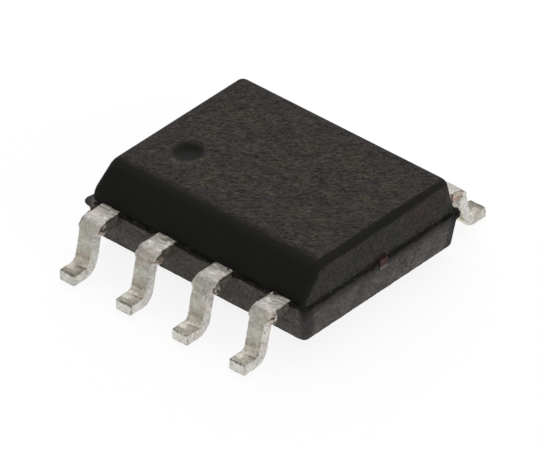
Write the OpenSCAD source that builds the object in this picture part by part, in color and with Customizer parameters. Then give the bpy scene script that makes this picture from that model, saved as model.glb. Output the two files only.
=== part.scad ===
// Eight-lead small-outline integrated circuit, narrow body, gull wing leads.
// Millimetres. Origin at the centre of the footprint on the seating plane:
// +X runs along the lead rows from pin 1 to pin 4, +Y from that row to the other, +Z up.

/* [Leads] */
// Distance between neighbouring leads of one row
pitch = 1.27; // [1.0:0.01:1.6]
// Thickness of the lead frame strip
lead_t = 0.2; // [0.15:0.01:0.25]
// Width of a lead where it leaves the body
shoulder_w = 0.41; // [0.33:0.01:0.5]
// Width of the shank and the solder foot
foot_w = 0.34; // [0.28:0.01:0.42]
// Reach of a lead from the side of the body to its toe
lead_reach = 1.05; // [0.95:0.01:1.3]
// Flat length of the solder foot beyond its bend
foot_flat = 0.28; // [0.15:0.01:0.4]
// Lean of the shank away from upright, in degrees
shank_lean = 14; // [4:1:20]
// Inside radius of the bend at the shoulder
shoulder_bend_r = 0.12; // [0.08:0.01:0.16]
// Inside radius of the bend above the foot
foot_bend_r = 0.1; // [0.08:0.01:0.14]
// How far the cut end of the dam bar stands out from each edge of a lead
dam_stub = 0.02; // [0.01:0.005:0.05]
// Turn of the shoulder bend at which the dam bar starts, in degrees
dam_from = 8; // [0:1:20]
// Turn of the shoulder bend at which the dam bar ends, in degrees
dam_to = 62; // [40:1:70]

/* [Moulded body] */
// Distance from the centre of the outermost leads to the end of the body
end_margin = 0.56; // [0.45:0.005:0.8]
// Width of the body across the lead rows, at the parting line
body_w = 3.9; // [3.6:0.05:5]
// Thickness of the body
body_t = 1.36; // [1.15:0.01:1.75]
// Height of the underside above the seating plane
standoff = 0.18; // [0.1:0.01:0.3]
// Thickness of compound under the lead frame
frame_cover = 0.565; // [0.4:0.005:0.7]
// Depth of the parting line below the upper face of the lead frame
parting_drop = 0.025; // [0.01:0.005:0.1]
// How far the upper half is stepped in at the parting line
ledge = 0.055; // [0.02:0.005:0.08]
// Draft of the upper half, in degrees
upper_draft = 8; // [4:0.5:10]
// Draft of the lower half, in degrees
lower_draft = 8; // [4:0.5:10]
// Rounding of the upright corners of the upper half
upper_corner_r = 0.13; // [0.06:0.01:0.25]
// Rounding of the upright corners of the lower half
lower_corner_r = 0.11; // [0.06:0.01:0.25]
// Rounding of the top edges
top_edge_r = 0.11; // [0.05:0.01:0.15]
// Rounding of the bottom edges
bottom_edge_r = 0.05; // [0.02:0.01:0.08]
// Width of the bevel along the pin 1 side, measured on the top face
bevel_w = 0.36; // [0.25:0.01:0.45]
// Slope of that bevel, in degrees
bevel_slope = 45; // [35:1:50]

/* [Marks in the moulding] */
// Width of the pin 1 dimple
dimple_d = 0.49; // [0.3:0.01:0.6]
// Depth of the pin 1 dimple
dimple_depth = 0.06; // [0.03:0.01:0.1]
// Distance of the dimple from the end of the body
dimple_from_end = 0.98; // [0.8:0.01:1.2]
// Distance of the dimple from the pin 1 side of the body
dimple_from_side = 1.46; // [1:0.01:1.6]
// Width of the ejector pin mark in the underside
ejector_d = 1; // [0.6:0.05:1.5]
// Depth of the ejector pin mark
ejector_depth = 0.03; // [0.01:0.005:0.05]

/* [Die paddle] */
// Length of the paddle along the lead rows
paddle_l = 2.7; // [2.2:0.05:3.3]
// Width of the paddle across the lead rows
paddle_w = 2; // [1.6:0.05:2.4]
// Depth of the paddle below the lead frame
downset = 0.2; // [0.1:0.01:0.25]
// Width of the bar that ties the paddle to the end of the body
tie_bar_w = 0.2; // [0.14:0.01:0.25]
// Length of the slope between tie bar and paddle
tie_slope = 0.25; // [0.2:0.01:0.35]
// How far the cut end of a tie bar stands out of the body
tie_proud = 0.012; // [0:0.002:0.03]

/* [Inner fingers] */
// Gap between the paddle and the tips of the fingers
tip_gap = 0.2; // [0.15:0.01:0.3]
// Width of the widened tip of the four middle fingers
middle_tip_w = 0.62; // [0.5:0.01:0.7]
// Length of the widened tip of the four middle fingers
middle_tip_l = 0.32; // [0.25:0.01:0.4]
// Distance of the four corner finger tips from the tie bar
corner_tip_gap = 0.3; // [0.2:0.01:0.5]
// Width of the hole through each corner finger that keys it into the compound
lock_hole_d = 0.2; // [0.12:0.01:0.25]

/* [Die and its attach layer] */
// Length of the die along the lead rows
die_l = 1.7; // [1.2:0.05:2.1]
// Width of the die across the lead rows
die_w = 1.4; // [1:0.05:1.7]
// Thickness of the die
die_t = 0.28; // [0.2:0.01:0.36]
// Thickness of the adhesive under the die
attach_t = 0.025; // [0.015:0.005:0.05]
// How far the adhesive spreads past the die
attach_spread = 0.08; // [0.05:0.01:0.12]
// How far the adhesive climbs up the sides of the die
attach_climb = 0.07; // [0.04:0.01:0.12]

/* [Bond wires] */
// Diameter of a wire
wire_d = 0.03; // [0.02:0.005:0.04]
// Diameter of the ball on the die
ball_d = 0.08; // [0.06:0.005:0.1]
// Thickness of the ball on the die
ball_t = 0.02; // [0.015:0.005:0.03]
// Distance of the bond pads from the edge of the die
pad_inset = 0.09; // [0.07:0.01:0.15]
// Height of a wire loop over the die
loop_h = 0.18; // [0.14:0.01:0.25]
// Bend radius at the top of a loop
loop_r = 0.06; // [0.04:0.01:0.08]
// Width of the stitch on the finger
stitch_d = 0.09; // [0.07:0.01:0.12]
// Thickness of the stitch on the finger
stitch_t = 0.012; // [0.008:0.002:0.02]

/* [Hidden] */
$fn = 48;
EPS = 0.01;
PINS = [1:8];
PINS_PER_ROW = 4;
COMPOUND = "#33302d";
TIN = "#b9b6ae";
COPPER = "#b87a5a";
ADHESIVE = "#9a9a94";
SILICON = "#5d6470";
GOLD = "#d9b44a";

body_l = (PINS_PER_ROW - 1) * pitch + 2 * end_margin;
frame_z = standoff + frame_cover;
frame_top = frame_z + lead_t;
parting_z = frame_top - parting_drop;
body_top = standoff + body_t;
upper_h = body_top - parting_z;
lower_h = parting_z - standoff;
body_side = body_w / 2;
body_end = body_l / 2;

// Gull wing profile, in a plane with x running outwards and y up.
toe_x = body_side + lead_reach;
foot_bend = [toe_x - foot_flat, lead_t + foot_bend_r];
shoulder_mid_r = shoulder_bend_r + lead_t / 2;
foot_mid_r = foot_bend_r + lead_t / 2;
shoulder_bend_z = frame_z - shoulder_bend_r;
shank_drop = shoulder_bend_z - foot_bend[1] + (shoulder_mid_r + foot_mid_r) * sin(shank_lean);
shank_out = shank_drop * tan(shank_lean) + (shoulder_mid_r + foot_mid_r) * cos(shank_lean);
shank_l = shank_drop / cos(shank_lean);
shoulder_bend = [foot_bend[0] - shank_out, shoulder_bend_z];

paddle_top = frame_top - downset;
paddle_end = paddle_l / 2;
paddle_side = paddle_w / 2;
die_z = paddle_top + attach_t;
die_top = die_z + die_t;
tip_y = paddle_side + tip_gap;
corner_in_x = paddle_end + tip_gap;
corner_out_x = (PINS_PER_ROW - 1) / 2 * pitch + shoulder_w / 2;
corner_mid_x = (corner_in_x + corner_out_x) / 2;
corner_tip_y = tie_bar_w / 2 + corner_tip_gap;

// Turns something drawn for pins 1 to 4 to the place of the given pin: pins 5 to 8 are
// the same row turned half round.
module at_row(pin) rotate([0, 0, pin > PINS_PER_ROW ? 180 : 0]) children();

// Place of a pin in its own row, 1 to 4, and the side of the middle it lies on.
function row_place(pin) = (pin - 1) % PINS_PER_ROW + 1;
function row_x(pin) = (row_place(pin) - (PINS_PER_ROW + 1) / 2) * pitch;
function hand(pin) = sign(row_x(pin));
function is_corner(pin) = row_place(pin) == 1 || row_place(pin) == PINS_PER_ROW;

// Side profile of a drafted block, from its middle out to `reach` at the base, with the
// top edge rounded.
module side_profile(reach, h, draft, edge_r) {
    arc_z = h - edge_r;
    arc_x = reach - arc_z * tan(draft) - edge_r / cos(draft);
    polygon([
        [0, 0],
        [reach, 0],
        [arc_x + edge_r * cos(draft), arc_z + edge_r * sin(draft)],
        [arc_x, h],
        [0, h],
    ]);
    translate([arc_x, arc_z])
        intersection() {
            circle(edge_r);
            square(edge_r);
        }
}

module full_profile(reach, h, draft, edge_r) {
    side_profile(reach, h, draft, edge_r);
    mirror([1, 0]) side_profile(reach, h, draft, edge_r);
}

// Bar profile across the block, pulled along its length.
module drafted_bar(length, reach, h, draft, edge_r)
    rotate([90, 0, 0])
        translate([0, 0, -length / 2])
            linear_extrude(length) full_profile(reach, h, draft, edge_r);

// What a round corner takes off the corner of the block at x, y. The round follows the
// lean of both walls, and crosses them at a slight angle instead of grazing them.
module corner_cut(x, y, h, draft, corner_r) {
    crossing = 10;
    inset = corner_r * cos(crossing);
    lean = tan(draft);
    translate([x - inset, y - inset, 0])
        rotate([asin(lean / sqrt(1 + 2 * lean * lean)), -draft, 0])
            difference() {
                translate([0, 0, -h]) cube([2 * corner_r, 2 * corner_r, 3 * h]);
                translate([0, 0, -2 * h]) cylinder(r = corner_r, h = 5 * h);
            }
}

// Block on z = 0 whose walls lean inwards, with round corners and a rounded top edge.
module drafted_block(l, w, h, draft, corner_r, edge_r)
    difference() {
        intersection() {
            drafted_bar(w, l / 2, h, draft, edge_r);
            rotate(90) drafted_bar(l, w / 2, h, draft, edge_r);
        }
        for (x = [0, 1], y = [0, 1])
            mirror([x, 0, 0]) mirror([0, y, 0]) corner_cut(l / 2, w / 2, h, draft, corner_r);
    }

module upper_half() {
    top_side = body_side - ledge - upper_h * tan(upper_draft);
    difference() {
        translate([0, 0, parting_z])
            drafted_block(
                body_l - 2 * ledge, body_w - 2 * ledge, upper_h,
                upper_draft, upper_corner_r, top_edge_r
            );
        translate([0, -(top_side - bevel_w), body_top])
            rotate([bevel_slope, 0, 0])
                translate([-body_l, -body_w, 0]) cube([2 * body_l, body_w, body_t]);
        pin_one_dimple();
    }
}

module lower_half()
    difference() {
        translate([0, 0, parting_z])
            mirror([0, 0, 1])
                drafted_block(body_l, body_w, lower_h, lower_draft, lower_corner_r, bottom_edge_r);
        translate([0, 0, standoff - EPS]) cylinder(d = ejector_d, h = ejector_depth + EPS);
    }

// Shallow spherical hollow that marks pin 1.
module pin_one_dimple() {
    ball_r = (pow(dimple_d / 2, 2) + pow(dimple_depth, 2)) / (2 * dimple_depth);
    translate([dimple_from_end - body_end, dimple_from_side - body_side,
               body_top + ball_r - dimple_depth])
        sphere(ball_r, $fn = 96);
}

module moulded_body()
    color(COMPOUND)
        difference() {
            union() {
                upper_half();
                lower_half();
            }
            die_paddle();
            die_attach();
            silicon_die();
            for (pin = PINS) {
                lead(pin);
                bond_wire(pin);
            }
        }

// Bent stretch of the strip round the origin, from one ray to another, less than half a
// turn. Straight stretches start on the same rays, so that the joints are flush.
module bend(inner_r, from, to) {
    far = 2 * (inner_r + lead_t);
    intersection() {
        difference() {
            circle(inner_r + lead_t);
            circle(inner_r);
        }
        rotate(from) translate([-far, 0]) square([2 * far, far]);
        rotate(to) translate([-far, -far]) square([2 * far, far]);
    }
}

module shoulder_bend_profile(from, to)
    translate(shoulder_bend) bend(shoulder_bend_r, from, to);

module shoulder_profile(inner_x)
    translate(shoulder_bend)
        rotate(90) translate([shoulder_bend_r, 0]) square([lead_t, shoulder_bend[0] - inner_x]);

// The shank leaves the shoulder bend along its last ray and carries the foot.
module shank_and_foot_profile()
    translate(shoulder_bend)
        rotate(shank_lean) {
            translate([shoulder_bend_r, -shank_l]) square([lead_t, shank_l]);
            translate([shoulder_bend_r + lead_t + foot_bend_r, -shank_l]) {
                bend(foot_bend_r, 180, 270 - shank_lean);
                rotate(270 - shank_lean) translate([foot_bend_r, 0]) square([lead_t, foot_flat]);
            }
        }

// Sets a gull wing profile upright at a lead's place, with the given width.
module across_lead(x, w)
    translate([x, 0, 0])
        rotate([90, 0, -90])
            translate([0, 0, -w / 2]) linear_extrude(w) children();

module gull_wing(x) {
    across_lead(x, shoulder_w) {
        shoulder_profile(body_side - EPS);
        shoulder_bend_profile(90 - dam_from, 90);
    }
    across_lead(x, shoulder_w + 2 * dam_stub) shoulder_bend_profile(90 - dam_to, 90 - dam_from);
    across_lead(x, foot_w) {
        shoulder_bend_profile(shank_lean, 90 - dam_to);
        shank_and_foot_profile();
    }
}

// Finger outlines in plan, for a lead on the near side of the body.
module middle_finger(x) {
    translate([x - shoulder_w / 2, -body_side]) square([shoulder_w, body_side - tip_y]);
    translate([x - middle_tip_w / 2, -(tip_y + middle_tip_l)]) square([middle_tip_w, middle_tip_l]);
}

module corner_finger(side) {
    knee_y = tip_y + middle_tip_l;
    scale([side, 1])
        difference() {
            union() {
                translate([corner_out_x - shoulder_w, -body_side])
                    square([shoulder_w, body_side - knee_y + EPS]);
                translate([corner_in_x, -knee_y])
                    square([corner_out_x - corner_in_x, knee_y - corner_tip_y]);
            }
            translate([corner_mid_x, -knee_y + lock_hole_d]) circle(d = lock_hole_d);
        }
}

module finger(pin)
    translate([0, 0, frame_z])
        linear_extrude(lead_t)
            if (is_corner(pin)) corner_finger(hand(pin));
            else middle_finger(row_x(pin));

module lead(pin)
    color(TIN)
        at_row(pin) {
            gull_wing(row_x(pin));
            finger(pin);
        }

// Tie bar in side view: level with the lead frame at the end of the body, then down
// the slope to the paddle.
module tie_bar_profile()
    polygon([
        [paddle_end - EPS, paddle_top - lead_t],
        [paddle_end, paddle_top - lead_t],
        [paddle_end + tie_slope, frame_z],
        [body_end + tie_proud, frame_z],
        [body_end + tie_proud, frame_top],
        [paddle_end + tie_slope, frame_top],
        [paddle_end, paddle_top],
        [paddle_end - EPS, paddle_top],
    ]);

module die_paddle()
    color(COPPER) {
        translate([-paddle_end, -paddle_side, paddle_top - lead_t]) cube([paddle_l, paddle_w, lead_t]);
        for (turn = [0, 180])
            rotate([0, 0, turn])
                rotate([90, 0, 0])
                    translate([0, 0, -tie_bar_w / 2]) linear_extrude(tie_bar_w) tie_bar_profile();
    }

// Pyramid stump with the given size at the base that leans in at 45 degrees.
module stump(l, w, h)
    intersection() {
        rotate([90, 0, 0])
            translate([0, 0, -w / 2])
                linear_extrude(w)
                    polygon([[-l / 2, 0], [l / 2, 0], [l / 2 - h, h], [h - l / 2, h]]);
        rotate([90, 0, 90])
            translate([0, 0, -l / 2])
                linear_extrude(l)
                    polygon([[-w / 2, 0], [w / 2, 0], [w / 2 - h, h], [h - w / 2, h]]);
    }

module die_attach()
    color(ADHESIVE)
        difference() {
            translate([0, 0, paddle_top])
                stump(die_l + 2 * attach_spread, die_w + 2 * attach_spread, attach_climb);
            silicon_die();
        }

module silicon_die()
    color(SILICON)
        translate([-die_l / 2, -die_w / 2, die_z]) cube([die_l, die_w, die_t]);

// Where a wire starts on the die and where it is stitched to its finger, in plan.
function pad_at(pin) = is_corner(pin)
    ? [hand(pin) * (die_l / 2 - pad_inset), -(die_w / 2 - pad_inset) / 2]
    : [row_x(pin) * (die_l / 2 - pad_inset) / pitch, -(die_w / 2 - pad_inset)];
function stitch_at(pin) = is_corner(pin)
    ? [hand(pin) * corner_mid_x, -(corner_tip_y + tip_y) / 2]
    : [row_x(pin), -(tip_y + middle_tip_l / 2)];

// Squashed ball that welds a wire to its pad.
module ball_bond() {
    cylinder(d = ball_d - ball_t, h = ball_t);
    rotate_extrude()
        translate([(ball_d - ball_t) / 2, ball_t / 2])
            intersection() {
                circle(d = ball_t);
                translate([0, -ball_t]) square([ball_t, 2 * ball_t]);
            }
}

// Wire loop in the plane x, z: up from the ball at x = 0, round the top and straight
// down to the finger at x = span, drop below the top of the die. The turn is a whole
// number of tenths of a degree, so that bend and straight meet flush.
module wire_loop(span, drop) {
    rise = loop_h - loop_r;
    across = span - loop_r;
    fall = drop + rise;
    reach = norm([across, fall]);
    turn = round(10 * (180 + atan2(fall, across) - acos(loop_r / reach))) / 10;
    run = -(fall + loop_r * sin(turn)) / cos(turn) + stitch_d;
    ball_bond();
    cylinder(d = wire_d, h = rise);
    difference() {
        translate([loop_r, 0, rise])
            rotate([90, 0, 180]) {
                rotate_extrude(angle = turn) translate([loop_r, 0]) circle(d = wire_d);
                rotate([0, 0, turn])
                    translate([loop_r, 0, 0])
                        rotate([-90, 0, 0]) cylinder(d = wire_d, h = run);
            }
        translate([-span, -span, -drop - stitch_d]) cube([3 * span, 2 * span, stitch_d]);
    }
    translate([span, 0, -drop]) cylinder(d = stitch_d, h = stitch_t);
}

module bond_wire(pin) {
    pad = pad_at(pin);
    way = stitch_at(pin) - pad;
    color(GOLD)
        at_row(pin)
            translate([pad[0], pad[1], die_top])
                rotate([0, 0, atan2(way[1], way[0])])
                    wire_loop(norm(way), die_top - frame_top);
}

moulded_body();
die_paddle();
die_attach();
silicon_die();
for (pin = PINS) lead(pin);
for (pin = PINS) bond_wire(pin);
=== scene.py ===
"""Small-outline chip with gull wing leads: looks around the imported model.

Everything is modelled in millimetres at the chip's own place and brought to metres when a
piece is finished. Origin on the seating plane, +X along the lead rows from pin 1 to pin 4,
+Y from that row to the other, +Z up.
"""

import logging
import math
from dataclasses import dataclass
from enum import Enum
from typing import Callable, Sequence

import bmesh
import bpy
from mathutils import Matrix, Vector, noise

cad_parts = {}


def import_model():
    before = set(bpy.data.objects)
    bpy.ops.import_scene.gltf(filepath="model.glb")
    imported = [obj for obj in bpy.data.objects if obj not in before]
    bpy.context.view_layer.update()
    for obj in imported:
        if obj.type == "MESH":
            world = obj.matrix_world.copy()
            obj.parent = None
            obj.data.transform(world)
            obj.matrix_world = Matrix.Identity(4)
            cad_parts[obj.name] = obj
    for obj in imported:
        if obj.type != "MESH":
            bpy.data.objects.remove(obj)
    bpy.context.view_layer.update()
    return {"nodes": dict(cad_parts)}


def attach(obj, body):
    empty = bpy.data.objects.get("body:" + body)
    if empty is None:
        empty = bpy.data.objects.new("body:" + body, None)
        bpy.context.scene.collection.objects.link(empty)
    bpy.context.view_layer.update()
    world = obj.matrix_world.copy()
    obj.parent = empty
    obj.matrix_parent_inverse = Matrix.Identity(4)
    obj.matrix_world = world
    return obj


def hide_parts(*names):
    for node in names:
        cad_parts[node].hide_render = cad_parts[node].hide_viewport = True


log = logging.getLogger("chip")

MM = 0.001

Object, Mesh, Material = bpy.types.Object, bpy.types.Mesh, bpy.types.Material
Colour = tuple[float, float, float]
Point = tuple[float, float, float]
Pair = tuple[float, float]

# Places that the moulding shares with its finish, in millimetres.
PARTING = 0.92
DIMPLE = (-1.462, -0.488, 1.54)
SAG = 0.055
SAG_FROM, SAG_TO = 2.30, 2.40

# A face looks along an axis when its normal has more than this share of it.
FACING = 0.9

# What each lead's mesh tells its finish, one number for each vertex.
LEAD_NOTES = ("along", "across", "side", "upside", "dull", "early")


# ---------------------------------------------------------------- modelling


class Part(Enum):
    """Kind of mesh element that a selection holds."""

    EDGE = "EDGE"
    FACE = "FACE"


def alone(obj: Object) -> None:
    """Makes obj the only selected object, and the active one."""
    bpy.ops.object.select_all(action="DESELECT")
    obj.select_set(True)
    bpy.context.view_layer.objects.active = obj


class Editing:
    """Edit mode on one object, as a context."""

    def __init__(self, obj: Object) -> None:
        """Remembers the mesh object to edit."""
        self.obj = obj

    def __enter__(self) -> "Editing":
        """Opens edit mode on the object."""
        alone(self.obj)
        bpy.ops.object.mode_set(mode="EDIT")
        return self

    def __exit__(self, *_: object) -> None:
        """Goes back to object mode."""
        bpy.ops.object.mode_set(mode="OBJECT")

    def _pick(self, part: Part, test: Callable[..., bool]) -> None:
        """Selects just the faces or the edges that pass a test."""
        bpy.ops.mesh.select_mode(type=part.value)
        bpy.ops.mesh.select_all(action="DESELECT")
        shape = bmesh.from_edit_mesh(self.obj.data)
        for item in filter(test, shape.edges if part is Part.EDGE else shape.faces):
            item.select_set(True)
        shape.select_flush_mode()
        bmesh.update_edit_mesh(self.obj.data)

    def face(self, direction: Point) -> None:
        """Selects the faces that look along a direction."""
        self._pick(Part.FACE, lambda f: f.normal.dot(direction) > FACING)

    def cut(self, point: Sequence[float], normal: Sequence[float], clear: bool = False) -> None:
        """Cuts the whole mesh with a plane; clear closes it and drops the normal's side."""
        bpy.ops.mesh.select_all(action="SELECT")
        bpy.ops.mesh.bisect(plane_co=point, plane_no=normal, clear_outer=clear, use_fill=clear)

    def split(self, cuts: int) -> None:
        """Divides every edge of the mesh by that many cuts."""
        bpy.ops.mesh.select_all(action="SELECT")
        bpy.ops.mesh.subdivide(number_cuts=cuts)

    def grow(self, step: Point) -> None:
        """Extrudes the selected faces by a step."""
        bpy.ops.mesh.extrude_region_move(TRANSFORM_OT_translate={"value": step})

    def stretch(self, factors: Point, about: Point) -> None:
        """Scales the selection about a point."""
        bpy.ops.transform.resize(value=factors, center_override=about)

    def spin(self, centre: Point, degrees: float, steps: int) -> None:
        """Sweeps the selected faces round an axis along X; positive turns down."""
        angle = -math.radians(degrees)
        bpy.ops.mesh.spin(steps=steps, angle=angle, center=centre, axis=(1, 0, 0))

    def round_off(self, width: float, segments: int, test: Callable[..., bool]) -> None:
        """Rounds the edges whose lower and higher level pass a test."""
        self._pick(Part.EDGE, lambda e: test(*sorted(v.co.z for v in e.verts)))
        kind = {"offset_type": "OFFSET", "affect": "EDGES", "clamp_overlap": True}
        bpy.ops.mesh.bevel(offset=width, segments=segments, **kind)


def block(name: str, low: Point, high: Point) -> Object:
    """A box between two corners, the start of a piece.

    Args:
        name: Name of the object.
        low: Lowest corner, in millimetres.
        high: Highest corner, in millimetres.

    Returns:
        The new object, its size applied to its mesh.
    """
    bpy.ops.object.select_all(action="DESELECT")
    centre = [(a + b) / 2 for a, b in zip(low, high)]
    bpy.ops.mesh.primitive_cube_add(size=1, location=centre)
    obj = bpy.context.object
    obj.name = obj.data.name = name
    obj.scale = [b - a for a, b in zip(low, high)]
    bpy.ops.object.transform_apply(location=True, rotation=True, scale=True)
    return obj


def apply_modifiers(obj: Object) -> None:
    """Applies every modifier of obj, first to last."""
    alone(obj)
    for modifier in list(obj.modifiers):
        bpy.ops.object.modifier_apply(modifier=modifier.name)


def weld(obj: Object, other: Object) -> None:
    """Makes obj one closed solid with another, which is taken away."""
    joint = obj.modifiers.new("weld", "BOOLEAN")
    joint.object, joint.operation, joint.solver = other, "UNION", "EXACT"
    apply_modifiers(obj)
    bpy.data.objects.remove(other)


def note(mesh: Mesh, name: str, values: Sequence[float]) -> None:
    """Writes one number for each vertex, for a finish to read."""
    mesh.attributes.new(name, "FLOAT", "POINT").data.foreach_set("value", values)


def smooth_step(low: float, high: float, x: float) -> float:
    """0 below low, 1 above high, and a smooth rise between them."""
    t = min(1.0, max(0.0, (x - low) / (high - low)))
    return t * t * (3 - 2 * t)


def bell(x: float, reach: float) -> float:
    """1 where x is 0, falling off on both sides over a reach."""
    return math.exp(-((x / reach) ** 2))


def rough(place: Sequence[float], per_mm: float, seed: float = 0.0) -> float:
    """Even noise from -1 to 1 at a place, with so many grains to a millimetre."""
    return noise.noise(Vector(place) * per_mm + Vector((seed, 0.7 * seed, -seed)))


def coat(obj: Object, material: Material) -> None:
    """Makes a material the only one of an object."""
    obj.data.materials.clear()
    obj.data.materials.append(material)


def complete(obj: Object, smooth_below: float, material: Material, node: str) -> None:
    """Brings a piece to metres, gives it its finish and says what it stands for.

    Args:
        obj: The piece, modelled in millimetres.
        smooth_below: Edges that turn by less than this many degrees are shaded smooth.
        material: Its finish.
        node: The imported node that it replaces.
    """
    alone(obj)
    obj.scale = (MM, MM, MM)
    bpy.ops.object.transform_apply(location=True, rotation=True, scale=True)
    bpy.ops.object.shade_smooth_by_angle(angle=math.radians(smooth_below))
    coat(obj, material)
    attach(obj, "root")
    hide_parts(node)
    log.info("%s: %d faces, replaces %s", obj.name, len(obj.data.polygons), node)


# ---------------------------------------------------------------- shaders


def maths(operation: str, swapped: bool = False) -> "Callable[[Wire, Wire | float], Wire]":
    """Makes an operator of Wire, which adds one Math node.

    Args:
        operation: The node's operation.
        swapped: Whether the other value comes first.

    Returns:
        The operator.
    """

    def combined(self: "Wire", other: "Wire | float") -> "Wire":
        """This value and the other in one Math node."""
        first, second = (other, self) if swapped else (self, other)
        return self.graph.add("Math", {"operation": operation}, {0: first, 1: second})

    return combined


class Wire:
    """A socket's value in an expression: operators add Math nodes, and over takes the larger."""

    def __init__(self, graph: "Graph", socket: bpy.types.NodeSocket) -> None:
        """Wraps an output socket of a graph."""
        self.graph = graph
        self.socket = socket

    __add__, __radd__ = maths("ADD"), maths("ADD", swapped=True)
    __sub__, __rsub__ = maths("SUBTRACT"), maths("SUBTRACT", swapped=True)
    __mul__, __rmul__ = maths("MULTIPLY"), maths("MULTIPLY", swapped=True)
    __truediv__ = maths("DIVIDE")
    over = maths("MAXIMUM")

    def __abs__(self) -> "Wire":
        """The value without its sign."""
        return self.graph.add("Math", {"operation": "ABSOLUTE"}, {0: self})

    def rise(self, low: float, high: float) -> "Wire":
        """0 below low, 1 above high, smooth between; low above high gives a fall."""
        if low > high:
            return 1 - self.rise(high, low)
        settings = {"interpolation_type": "SMOOTHSTEP"}
        return self.graph.add("MapRange", settings, {"Value": self, 1: low, 2: high})

    def band(self, centre: float, half: float, soft: float) -> "Wire":
        """1 within half of centre, falling to 0 over soft."""
        return abs(self - centre).rise(half + soft, half)


class Graph:
    """Builds the node tree of a material or of the world."""

    def __init__(self, owner: "Material | bpy.types.World") -> None:
        """Starts with the owner's tree emptied."""
        self.owner = owner
        owner.use_nodes = True
        self.tree = owner.node_tree
        self.tree.nodes.clear()

    @classmethod
    def material(cls, name: str) -> "Graph":
        """Starts a new material of that name."""
        return cls(bpy.data.materials.new(name))

    def add(
        self,
        kind: str,
        settings: dict[str, object] | None = None,
        inputs: dict[str | int, object] | None = None,
        output: int | str = 0,
    ) -> Wire:
        """Adds any node.

        Args:
            kind: The node's type, without the ShaderNode that starts it.
            settings: Properties, set first.
            inputs: Values or wires by socket name or number; a colour is three numbers.
            output: The output socket that is returned.

        Returns:
            The wire from that output.
        """
        node = self.tree.nodes.new(f"ShaderNode{kind}")
        for key, value in (settings or {}).items():
            setattr(node, key, value)
        for key, value in (inputs or {}).items():
            if isinstance(value, Wire):
                self.tree.links.new(value.socket, node.inputs[key])
            elif node.inputs[key].type == "RGBA":
                node.inputs[key].default_value = (*value, 1.0)
            else:
                node.inputs[key].default_value = value
        return Wire(self, node.outputs[output])

    def ramp(self, value: Wire, stops: Sequence[tuple[float, Colour]]) -> Wire:
        """Colours by a value.

        Args:
            value: The value, 0 to 1.
            stops: Values with their colours, the first at 0 and the last at 1.

        Returns:
            The colour.
        """
        colours = self.add("ValToRGB", {}, {0: value})
        elements = colours.socket.node.color_ramp.elements
        for place, _ in stops[1:-1]:
            elements.new(place)
        for element, (_, colour) in zip(elements, stops):
            element.color = (*colour, 1.0)
        return colours

    def place(self) -> Wire:
        """Object coordinates in millimetres."""
        return self.stretched(self.add("TexCoord", output="Object"), (1 / MM,) * 3)

    def axes(self, vector: Wire) -> tuple[Wire, Wire, Wire]:
        """The three numbers of a vector."""
        node = self.add("SeparateXYZ", {}, {0: vector}).socket.node
        return tuple(Wire(self, node.outputs[k]) for k in range(3))

    def near(self, vector: Wire, spot: Point) -> Wire:
        """Distance from a spot."""
        settings = {"operation": "DISTANCE"}
        return self.add("VectorMath", settings, {0: vector, 1: spot}, "Value")

    def attribute(self, name: str) -> Wire:
        """A number that the mesh carries."""
        return self.add("Attribute", {"attribute_name": name}, output="Fac")

    def stretched(self, vector: Wire, scale: Point = (1, 1, 1), shift: Point = (0, 0, 0)) -> Wire:
        """The vector scaled and shifted, to stretch or move a pattern."""
        inputs = {"Vector": vector, "Scale": scale, "Location": shift}
        return self.add("Mapping", {}, inputs)

    def noise(self, vector: Wire, per_mm: float, detail: float = 2.0, warp: float = 0.0) -> Wire:
        """Soft noise about 0.5 with the given grains to a millimetre."""
        inputs = dict(Vector=vector, Scale=per_mm, Detail=detail, Roughness=0.6, Distortion=warp)
        return self.add("TexNoise", {}, inputs)

    def cells(self, vector: Wire, per_mm: float) -> Wire:
        """Distance to scattered points, for grains and pits."""
        return self.add("TexVoronoi", {}, {"Vector": vector, "Scale": per_mm})

    def blend(self, mask: Wire, first: "Wire | Colour", second: "Wire | Colour") -> Wire:
        """Colours mixed by a mask: first where it is 0, second where it is 1."""
        settings = {"data_type": "RGBA", "clamp_factor": True}
        return self.add("Mix", settings, {0: mask, 6: first, 7: second}, 2)

    def layered(self, colour: "Wire | Colour", *coats: "tuple[Wire, Wire | Colour]") -> Wire:
        """A colour under coats, each a mask and the colour that it lays on."""
        for mask, tint in coats:
            colour = self.blend(mask, colour, tint)
        return colour

    def shade(self, colour: Wire, amount: Wire) -> Wire:
        """A colour made lighter or darker by a number."""
        settings = {"operation": "SCALE"}
        return self.add("VectorMath", settings, {0: colour, "Scale": amount})

    def bump(self, height: Wire, distance: float, strength: float = 1.0) -> Wire:
        """A surface normal from a height, where 1 stands for a distance in millimetres."""
        inputs = {"Height": height, "Distance": distance * MM, "Strength": strength}
        return self.add("Bump", {}, inputs)

    def surface(self, **sockets: object) -> Material:
        """Ends in a Principled surface; underscores in names stand for spaces."""
        inputs = {key.replace("_", " "): value for key, value in sockets.items()}
        return self.done(self.add("BsdfPrincipled", {}, inputs))

    def done(self, surface: Wire) -> "Material | bpy.types.World":
        """Ends the tree with an output and gives its owner."""
        ending = "World" if isinstance(self.owner, bpy.types.World) else "Material"
        output = self.tree.nodes.new(f"ShaderNodeOutput{ending}")
        self.tree.links.new(surface.socket, output.inputs["Surface"])
        return self.owner


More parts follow.
